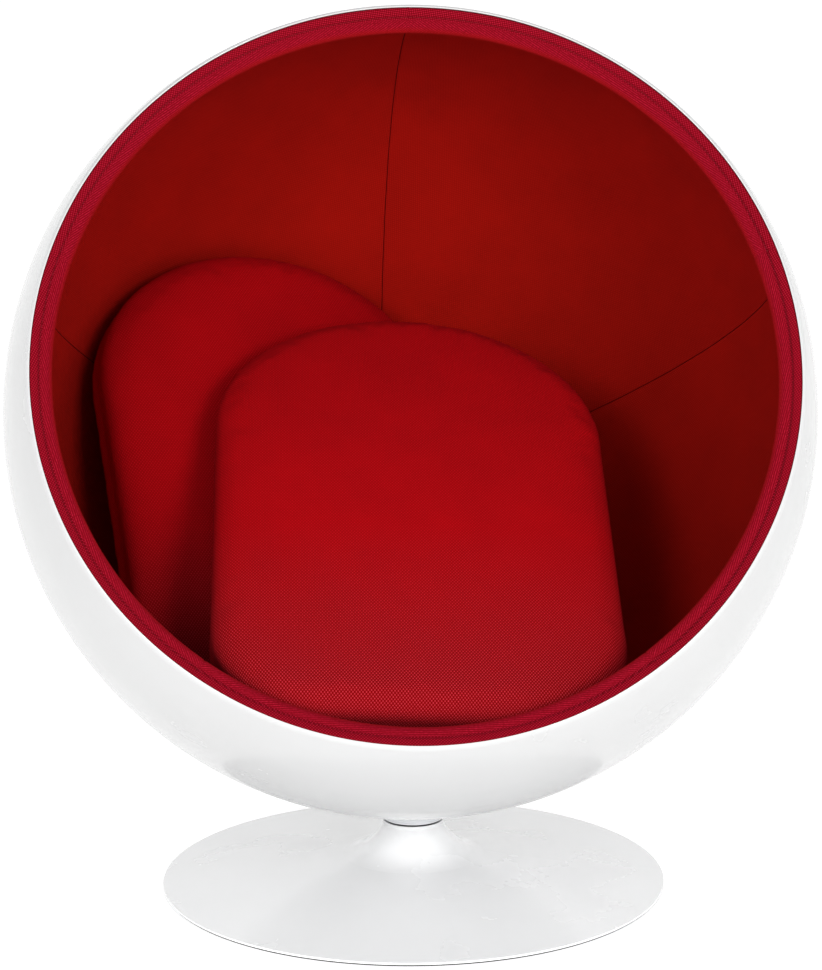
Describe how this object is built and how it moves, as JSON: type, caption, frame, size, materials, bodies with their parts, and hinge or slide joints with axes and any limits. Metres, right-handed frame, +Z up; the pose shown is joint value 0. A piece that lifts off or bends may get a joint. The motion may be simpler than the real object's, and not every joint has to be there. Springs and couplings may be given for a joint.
{
  "type": "pod chair",
  "caption": "Ball-shaped lounge chair: a padded round shell open at the front, with two loose cushions, that swivels on a low flared pedestal.",
  "frame": {"origin": "on the floor, on the swivel's axis, in the middle of the pedestal's foot ring", "axes": "+Z up along the swivel's axis, -Y out of the ball's opening at rest, +X to the right seen from the front"},
  "size_m": [1.0997, 0.9721, 1.21],
  "materials": {
    "white_shell": "glossy white gel coat over moulded laminate",
    "white_enamel": "glossy white enamel on spun metal",
    "red_fabric": "red plain-weave wool",
    "lining_fabric": "red plain-weave wool, glued to the foam",
    "foam": "open-cell upholstery foam",
    "zip_tape": "woven tape with coil teeth",
    "zinc_slider": "cast zinc",
    "bright_steel": "turned steel",
    "zinc_steel": "zinc-plated steel",
    "dark_collar": "glossy grey enamel",
    "bush_plastic": "filled bearing plastic",
    "black_rubber": "matt black",
    "cast_hub": "as cast, painted grey",
    "cast_ballast": "as cast, painted black"
  },
  "bodies": {
    "pedestal_body": {"pedestal": "white_enamel", "foot_ring": "black_rubber", "hub": "cast_hub", "ballast_plate": "cast_ballast", "ballast_screws": "zinc_steel", "upper_bush": "bush_plastic", "lower_bush": "bush_plastic", "thrust_washer": "bush_plastic"},
    "ball_body": {"shell": "white_shell", "lining_foam": "foam", "lining_panel_1": "lining_fabric", "lining_panel_2": "lining_fabric", "lining_panel_3": "lining_fabric", "lining_panel_4": "lining_fabric", "lining_panel_5": "lining_fabric", "rim_foam": "foam", "rim_cover_1": "red_fabric", "rim_cover_2": "red_fabric", "rim_cover_3": "red_fabric", "rim_cover_4": "red_fabric", "rim_cover_5": "red_fabric", "spindle": "bright_steel", "collar": "dark_collar", "mounting_plate": "bright_steel", "mounting_screws": "zinc_steel", "retaining_washer": "zinc_steel", "circlip": "zinc_steel"},
    "seat_cushion_body": {"seat_cushion_foam": "foam", "seat_cushion_face_panel": "red_fabric", "seat_cushion_back_panel": "red_fabric", "seat_cushion_zip": "zip_tape", "seat_cushion_zip_slider": "zinc_slider"},
    "back_cushion_body": {"back_cushion_foam": "foam", "back_cushion_face_panel": "red_fabric", "back_cushion_back_panel": "red_fabric", "back_cushion_zip": "zip_tape", "back_cushion_zip_slider": "zinc_slider"}
  },
  "joints": [
    {"name": "swivel", "type": "hinge", "parent": "pedestal_body", "child": "ball_body", "pos_m": [0, 0, 0.09], "axis": [0, 0, 1], "continuous": true},
    {"name": "seat_lift", "type": "slide", "parent": "ball_body", "child": "seat_cushion_body", "axis": [0.019, -0.5443, 0.8387], "range_m": [0, 0.97]},
    {"name": "back_lift", "type": "slide", "parent": "ball_body", "child": "back_cushion_body", "axis": [0.2962, -0.8138, 0.5], "range_m": [0, 0.68]}
  ],
  "couplings": [
    {"joint": "back_lift", "follows": "seat_lift", "ratio": 0.7}
  ]
}
